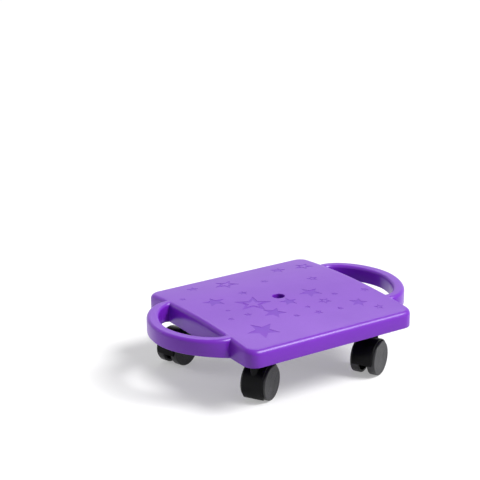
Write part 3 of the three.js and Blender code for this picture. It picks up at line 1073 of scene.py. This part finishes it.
def socket_shape():
    """A socket: a flanged sleeve with a seat for the stem's grip ring."""
    sizes = settings("board_caster")
    seat, seat_low, seat_high = ring_room("grip_ring")
    low, high = SOCKET_LOW.z, SOCKET_HIGH.z
    flange_top = low + sizes.flange_height
    points = [(sizes.bore, low), *lower_corner(sizes.flange, low, sizes.running)]
    points += [(sizes.flange, flange_top), (sizes.sleeve, flange_top), (sizes.sleeve, high)]
    points += [(sizes.bore, high), (sizes.bore, seat_high), (seat, seat_high), (seat, seat_low)]
    points += [(sizes.bore, seat_low)]
    return turned(points, PIN_STEPS, closed=True)


def hood_plastic():
    """Black plastic with a fine grain."""
    colours = settings("board_finish")
    return grained_material(
        "hood_finish",
        shades=(colours.hood, darker(colours.hood, 0.7)),
        roughness=(0.3, 0.38),
        grain={"Grain Scale": 1400, "Patch Scale": 25, "Strength": 0.1, "Distance": 0.0001},
        scuffs={"Streak Scale": 120, "Amount": 0.1},
        specular=0.1,
    )


def wheel_plastic():
    """Dark grey plastic with a stronger grain."""
    colours = settings("board_finish")
    return grained_material(
        "wheel_finish",
        shades=(colours.wheel, darker(colours.wheel, 0.75)),
        roughness=(0.36, 0.46),
        grain={"Grain Scale": 1600, "Patch Scale": 30, "Strength": 0.14, "Distance": 0.0001},
        scuffs={"Streak Scale": 140, "Amount": 0.12},
        specular=0.4,
    )


def socket_plastic():
    """Dull black plastic."""
    colours = settings("board_finish")
    return grained_material(
        "socket_finish",
        shades=(colours.socket, colours.hood),
        roughness=(0.4, 0.5),
        grain={"Grain Scale": 1400, "Patch Scale": 40, "Strength": 0.1, "Distance": 0.0001},
        scuffs={"Streak Scale": 120, "Amount": 0.05},
    )


def turned_steel():
    """Bright steel of the stems and axles."""
    colours = settings("board_finish")
    return grained_material(
        "steel_finish",
        shades=(colours.steel, darker(colours.steel, 0.8)),
        roughness=(0.18, 0.3),
        grain={"Grain Scale": 2400, "Patch Scale": 90, "Strength": 0.06, "Distance": 0.00005},
        scuffs={"Streak Scale": 300, "Amount": 0.15},
        metallic=1,
    )


def spring_steel():
    """Darker steel of the rings."""
    colours = settings("board_finish")
    return grained_material(
        "spring_finish",
        shades=(colours.spring, darker(colours.spring, 0.8)),
        roughness=(0.26, 0.36),
        grain={"Grain Scale": 2400, "Patch Scale": 120, "Strength": 0.06, "Distance": 0.00005},
        scuffs={"Streak Scale": 300, "Amount": 0.1},
        metallic=1,
    )


def at_each_corner(shape, label, node, body, material, sharp):
    """A copy of a caster's piece at each corner. Braces in its body's name stand for the corner."""
    for corner in CORNERS:
        copy = moved(shape.copy(), caster_matrix(corner))
        name, own_node, own_body = f"{corner}_{label}", f"{corner}_{node}", body.format(corner)
        piece(copy, name, own_node, own_body, [material], sharp)
    shape.free()


class BOARD_OT_hoods(bpy.types.Operator):
    """Model the caster hoods with their necks"""

    bl_idname = "board.hoods"
    bl_label = "Hoods"

    def execute(self, context):
        at_each_corner(
            hood_shape(),
            label="caster_hood",
            node="hood",
            body="{}_caster",
            material=hood_plastic(),
            sharp=32,
        )
        return {"FINISHED"}


class BOARD_OT_wheels(bpy.types.Operator):
    """Model the eight wheels"""

    bl_idname = "board.wheels"
    bl_label = "Wheels"

    def execute(self, context):
        for side in SIDES:
            at_each_corner(
                wheel_shape(side),
                label=f"{side}_wheel",
                node=f"wheel_{side}",
                body="{}_wheel_" + side,
                material=wheel_plastic(),
                sharp=24,
            )
        return {"FINISHED"}


class BOARD_OT_stems(bpy.types.Operator):
    """Model the steel stems and the sockets that take them"""

    bl_idname = "board.stems"
    bl_label = "Stems and sockets"

    def execute(self, context):
        at_each_corner(
            stem_shape(),
            label="steel_stem",
            node="stem",
            body="{}_caster",
            material=turned_steel(),
            sharp=30,
        )
        at_each_corner(
            socket_shape(),
            label="stem_socket",
            node="socket",
            body="board",
            material=socket_plastic(),
            sharp=30,
        )
        return {"FINISHED"}


class BOARD_OT_rings(bpy.types.Operator):
    """Finish the axles and the rings, which keep the frame's own shapes"""

    bl_idname = "board.rings"
    bl_label = "Axles and rings"

    def execute(self, context):
        finishes = {"axle": turned_steel(), "grip_ring": spring_steel(), "snap_ring": spring_steel()}
        for corner in CORNERS:
            for node, material in finishes.items():
                for material_slot in frame["nodes"][f"{corner}_{node}"].material_slots:
                    material_slot.material = material
        return {"FINISHED"}


# Stage

# The key light: where it shines from, the spread of its soft source in degrees, and its strength
KEY_FROM = (0.42, -0.49, 0.78)
KEY_SPREAD = 28
KEY_STRENGTH = 3.6

# Large soft lamps that point at the board. Gloss mirrors only those that are marked so
SOFTBOXES = {
    "left_fill": {"place": (-1.4, 1.7, 0.8), "size": (1.2, 1.2), "power": 20, "mirrored": False},
    "back_glow": {"place": (1.1, 1.6, 1.8), "size": (2.2, 1.0), "power": 13, "mirrored": True},
    "front_fill": {"place": (1.3, -1.9, 0.5), "size": (1.2, 1.2), "power": 14, "mirrored": False},
}
SOFTBOX_TARGET = (0, 0, 0.08)

WHITE = (1, 1, 1, 1)
# The world's strength as a light and as a backdrop
SOFT_SKY = 0.15
SHOWN_WHITE = 1
# How much the floor is lifted in the view, so that its lit part shows white
FLOOR_LIFT = 0.335
FLOOR_ROUGHNESS = 0.9
# The width of the camera's sensor, in millimetres
SENSOR_WIDTH = 36


def seen_rays(tree):
    """A value of 1 for rays from the camera and for reflections and glass, and 0 for the rest."""
    path = tree.nodes.new("ShaderNodeLightPath")
    total = path.outputs["Is Camera Ray"]
    for ray in ("Is Glossy Ray", "Is Transmission Ray"):
        either = add_node(tree, "ShaderNodeMath", operation="MAXIMUM")
        tree.links.new(total, either.inputs[0])
        tree.links.new(path.outputs[ray], either.inputs[1])
        total = either.outputs["Value"]
    return total


def floor_material():
    """A plain floor that takes the board's shadow and shows white where it is fully lit."""
    material, tree, shader = new_material("pale_floor")
    shader.inputs["Base Color"].default_value = (*settings("board_finish").floor, 1)
    shader.inputs["Roughness"].default_value = FLOOR_ROUGHNESS
    shader.inputs["Specular IOR Level"].default_value = 0
    shader.inputs["Emission Color"].default_value = WHITE
    lift = add_node(tree, "ShaderNodeMath", {1: FLOOR_LIFT}, operation="MULTIPLY")
    tree.links.new(seen_rays(tree), lift.inputs[0])
    tree.links.new(lift.outputs["Value"], shader.inputs["Emission Strength"])
    return material


def make_floor():
    """A level floor under the board, wide enough to fill the view."""
    shape = bmesh.new()
    bmesh.ops.create_grid(shape, x_segments=1, y_segments=1, size=settings("board_stage").floor_half)
    mesh = mesh_of(shape, "floor")
    mesh.materials.append(floor_material())
    add_object("floor", mesh)


def make_world():
    """A white backdrop that gives only a little light."""
    world = bpy.data.worlds.new("studio")
    world.use_nodes = True
    bpy.context.scene.world = world
    tree = world.node_tree
    strength = add_node(tree, "ShaderNodeMapRange", {"To Min": SOFT_SKY, "To Max": SHOWN_WHITE})
    background = tree.nodes["Background"]
    background.inputs["Color"].default_value = WHITE
    tree.links.new(seen_rays(tree), strength.inputs["Value"])
    tree.links.new(strength.outputs["Result"], background.inputs["Strength"])


def make_key():
    """One broad soft light from the front right, as even near the board as far from it."""
    light = bpy.data.lights.new("key", "SUN")
    light.angle = math.radians(KEY_SPREAD)
    light.energy = KEY_STRENGTH
    add_object("key", light).rotation_euler = Vector(KEY_FROM).to_track_quat("Z", "Y").to_euler()


def make_softbox(name, place, size, power, mirrored):
    """A lamp that the camera doesn't see, turned to the board."""
    lamp = bpy.data.lights.new(name, "AREA")
    lamp.shape = "RECTANGLE"
    lamp.size, lamp.size_y = size
    lamp.energy = power
    item = add_object(name, lamp)
    item.location = place
    item.rotation_euler = (Vector(place) - Vector(SOFTBOX_TARGET)).to_track_quat("Z", "Y").to_euler()
    item.visible_camera = False
    item.visible_glossy = mirrored


def make_camera():
    """The camera, where the photograph was taken from."""
    stage = settings("board_stage")
    camera = add_object("camera", bpy.data.cameras.new("camera"))
    camera.data.lens = stage.lens
    camera.data.sensor_width = SENSOR_WIDTH
    camera.location = stage.camera
    turn = Matrix.Rotation(stage.azimuth, 3, "Z") @ Matrix.Rotation(QUARTER_TURN - stage.pitch, 3, "X")
    camera.rotation_euler = (turn @ Matrix.Rotation(stage.roll, 3, "Z")).to_euler()
    bpy.context.scene.camera = camera


class BOARD_OT_stage(bpy.types.Operator):
    """Set the camera, the lamps and the floor"""

    bl_idname = "board.stage"
    bl_label = "Stage"

    def execute(self, context):
        context.scene.view_settings.view_transform = "Standard"
        make_camera()
        make_world()
        make_floor()
        make_key()
        for name, values in SOFTBOXES.items():
            make_softbox(name, **values)
        return {"FINISHED"}


class BOARD_PT_panel(bpy.types.Panel):
    """Lists the board's operators and sizes"""

    bl_idname = "BOARD_PT_panel"
    bl_label = "Scooter Board"
    bl_space_type = "VIEW_3D"
    bl_region_type = "UI"
    bl_category = "Scooter Board"

    def draw(self, context):
        for operator in OPERATORS:
            self.layout.operator(operator.bl_idname)
        for name, group in SETTINGS.items():
            column = self.layout.column(heading=group.__name__)
            for size in group.__annotations__:
                column.prop(getattr(context.scene, name), size)


OPERATORS = (
    BOARD_OT_stage,
    BOARD_OT_deck,
    BOARD_OT_hoods,
    BOARD_OT_wheels,
    BOARD_OT_stems,
    BOARD_OT_rings,
)


def register():
    for cls in (*SETTINGS.values(), *OPERATORS, BOARD_PT_panel):
        bpy.utils.register_class(cls)
    for name, group in SETTINGS.items():
        setattr(bpy.types.Scene, name, PointerProperty(type=group))


def unregister():
    for name in SETTINGS:
        delattr(bpy.types.Scene, name)
    for cls in (BOARD_PT_panel, *reversed(OPERATORS), *reversed(SETTINGS.values())):
        bpy.utils.unregister_class(cls)


def write_sizes():
    """Brings the scene's placements up to date."""
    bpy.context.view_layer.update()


def main():
    register()
    bpy.ops.board.stage()
    bpy.ops.board.deck()
    bpy.ops.board.hoods()
    bpy.ops.board.wheels()
    bpy.ops.board.stems()
    bpy.ops.board.rings()
    write_sizes()


if __name__ == "__main__":
    main()
